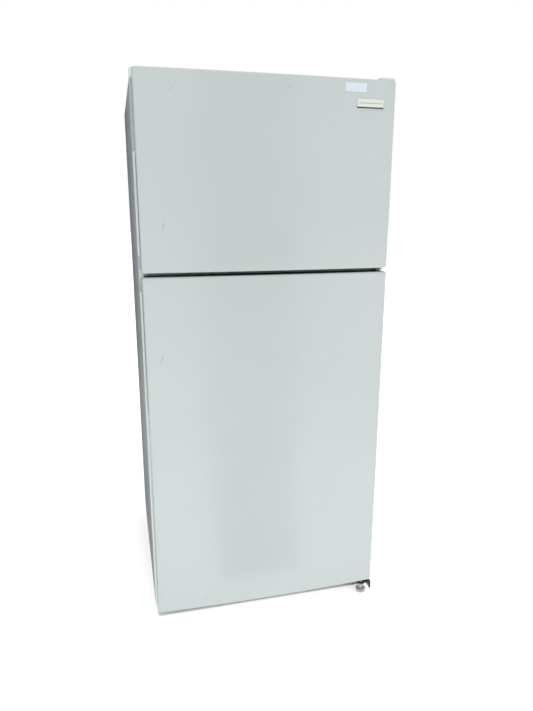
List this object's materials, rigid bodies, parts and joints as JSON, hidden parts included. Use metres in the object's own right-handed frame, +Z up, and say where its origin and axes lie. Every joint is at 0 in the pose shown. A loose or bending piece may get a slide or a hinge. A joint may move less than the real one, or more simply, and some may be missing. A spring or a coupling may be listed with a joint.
{
  "type": "top freezer refrigerator",
  "caption": "Upright steel cabinet with a freezer above a fresh food compartment, two right-hinged doors with side grips, shelves, drawers and a cooling system.",
  "frame": {"origin": "centre of the bounding box at floor level, under the middle of the cabinet", "axes": "+Z up, the doors face -Y, +X to the right as seen from the front, hinges at +X"},
  "size_m": [0.762, 0.768, 1.702],
  "materials": {
    "door_paint": "gloss white enamel, faintly cool",
    "white_steel": "gloss white enamel",
    "back_steel": "matt pale grey coated sheet",
    "galvanised_steel": "galvanised sheet",
    "zinc_steel": "zinc plated",
    "black_steel": "satin black paint",
    "leg_steel": "dull plated steel",
    "coil_aluminium": "mill finish fins",
    "dark_coil": "black dipped coil",
    "liner_plastic": "moulded white plastic",
    "white_plastic": "moulded white plastic",
    "dark_plastic": "dark grey moulded plastic",
    "frosted_plastic": "frosted",
    "clear_plastic": "clear moulded plastic",
    "gasket_vinyl": "soft white vinyl",
    "shelf_glass": "tempered glass",
    "bulb_glass": "frosted bulb",
    "foam": "rigid polyurethane foam",
    "wire_coating": "white coated wire",
    "badge_metal": "cream printed plate",
    "label_paper": "matt paper"
  },
  "bodies": {
    "cabinet": {"cabinet_shell": "white_steel", "cabinet_back": "back_steel", "base_pan": "galvanised_steel", "cabinet_foam": "foam", "freezer_liner": "liner_plastic", "fresh_food_liner": "liner_plastic", "front_rails": "white_steel", "top_hinge": "zinc_steel", "top_hinge_cover": "white_plastic", "centre_hinge": "zinc_steel", "bottom_hinge": "black_steel", "hinge_screws": "zinc_steel", "hinge_hole_cover": "white_plastic", "toe_grille": "dark_plastic", "roller_brackets": "galvanised_steel", "compressor": "black_steel", "condenser": "dark_coil", "condenser_fan_motor": "galvanised_steel", "drain_pan": "dark_plastic", "rear_cover": "back_steel", "evaporator": "coil_aluminium", "evaporator_cover": "liner_plastic", "evaporator_fan_motor": "galvanised_steel", "control_housing": "liner_plastic", "light_lens": "frosted_plastic", "light_bulb": "bulb_glass", "light_switch": "liner_plastic", "shelf_frames": "liner_plastic", "shelf_glass": "shelf_glass", "crisper_cover": "liner_plastic", "freezer_shelf": "wire_coating"},
    "left_leg": {"leg_left": "leg_steel"},
    "right_leg": {"leg_right": "leg_steel"},
    "left_roller": {"roller_left": "dark_plastic"},
    "right_roller": {"roller_right": "dark_plastic"},
    "condenser_fan_wheel": {"condenser_fan": "dark_plastic"},
    "evaporator_fan_wheel": {"evaporator_fan": "liner_plastic"},
    "freezer_dial": {"freezer_knob": "white_plastic"},
    "fridge_dial": {"fridge_knob": "white_plastic"},
    "light_plunger": {"switch_plunger": "white_plastic"},
    "left_drawer": {"crisper_left": "clear_plastic"},
    "right_drawer": {"crisper_right": "clear_plastic"},
    "freezer_door": {"freezer_door_skin": "door_paint", "freezer_door_foam": "foam", "freezer_door_liner": "liner_plastic", "freezer_door_gasket": "gasket_vinyl", "freezer_door_caps": "white_plastic", "freezer_grip": "white_plastic", "freezer_door_bins": "clear_plastic", "badge_plate": "badge_metal", "paper_label": "label_paper"},
    "fridge_door": {"fridge_door_skin": "door_paint", "fridge_door_foam": "foam", "fridge_door_liner": "liner_plastic", "fridge_door_gasket": "gasket_vinyl", "fridge_door_caps": "white_plastic", "fridge_grip": "white_plastic", "fridge_door_bins": "clear_plastic", "dairy_box": "liner_plastic"},
    "dairy_flap": {"dairy_lid": "clear_plastic"}
  },
  "joints": [
    {"name": "freezer_door_hinge", "type": "hinge", "parent": "cabinet", "child": "freezer_door", "pos_m": [0.359, -0.348, 1.156], "axis": [0, 0, 1], "range_deg": [0, 130]},
    {"name": "fridge_door_hinge", "type": "hinge", "parent": "cabinet", "child": "fridge_door", "pos_m": [0.359, -0.348, 0.045], "axis": [0, 0, 1], "range_deg": [0, 130]},
    {"name": "dairy_flap_hinge", "type": "hinge", "parent": "fridge_door", "child": "dairy_flap", "pos_m": [0, -0.232, 1.036], "axis": [1, 0, 0], "range_deg": [0, 85]},
    {"name": "left_drawer_slide", "type": "slide", "parent": "cabinet", "child": "left_drawer", "axis": [0, -1, 0], "range_m": [0, 0.11]},
    {"name": "right_drawer_slide", "type": "slide", "parent": "cabinet", "child": "right_drawer", "axis": [0, -1, 0], "range_m": [0, 0.11]},
    {"name": "freezer_dial_turn", "type": "hinge", "parent": "cabinet", "child": "freezer_dial", "pos_m": [-0.095, -0.1, 1.086], "axis": [0, -1, 0], "range_deg": [-135, 135]},
    {"name": "fridge_dial_turn", "type": "hinge", "parent": "cabinet", "child": "fridge_dial", "pos_m": [-0.035, -0.1, 1.086], "axis": [0, -1, 0], "range_deg": [-135, 135]},
    {"name": "light_plunger_slide", "type": "slide", "parent": "cabinet", "child": "light_plunger", "axis": [0, 1, 0], "range_m": [0, 0.008], "stiffness_N_per_m": 150},
    {"name": "evaporator_fan_spin", "type": "hinge", "parent": "cabinet", "child": "evaporator_fan_wheel", "pos_m": [0, 0.266, 1.5], "axis": [0, 1, 0], "continuous": true},
    {"name": "condenser_fan_spin", "type": "hinge", "parent": "cabinet", "child": "condenser_fan_wheel", "pos_m": [-0.03, 0.268, 0.166], "axis": [1, 0, 0], "continuous": true},
    {"name": "left_leg_turn", "type": "hinge", "parent": "cabinet", "child": "left_leg", "pos_m": [-0.34, -0.287, 0], "axis": [0, 0, 1], "continuous": true},
    {"name": "right_leg_turn", "type": "hinge", "parent": "cabinet", "child": "right_leg", "pos_m": [0.34, -0.366, 0], "axis": [0, 0, 1], "continuous": true},
    {"name": "left_roller_spin", "type": "hinge", "parent": "cabinet", "child": "left_roller", "pos_m": [-0.34, 0.326, 0.022], "axis": [1, 0, 0], "continuous": true},
    {"name": "right_roller_spin", "type": "hinge", "parent": "cabinet", "child": "right_roller", "pos_m": [0.34, 0.326, 0.022], "axis": [1, 0, 0], "continuous": true}
  ]
}
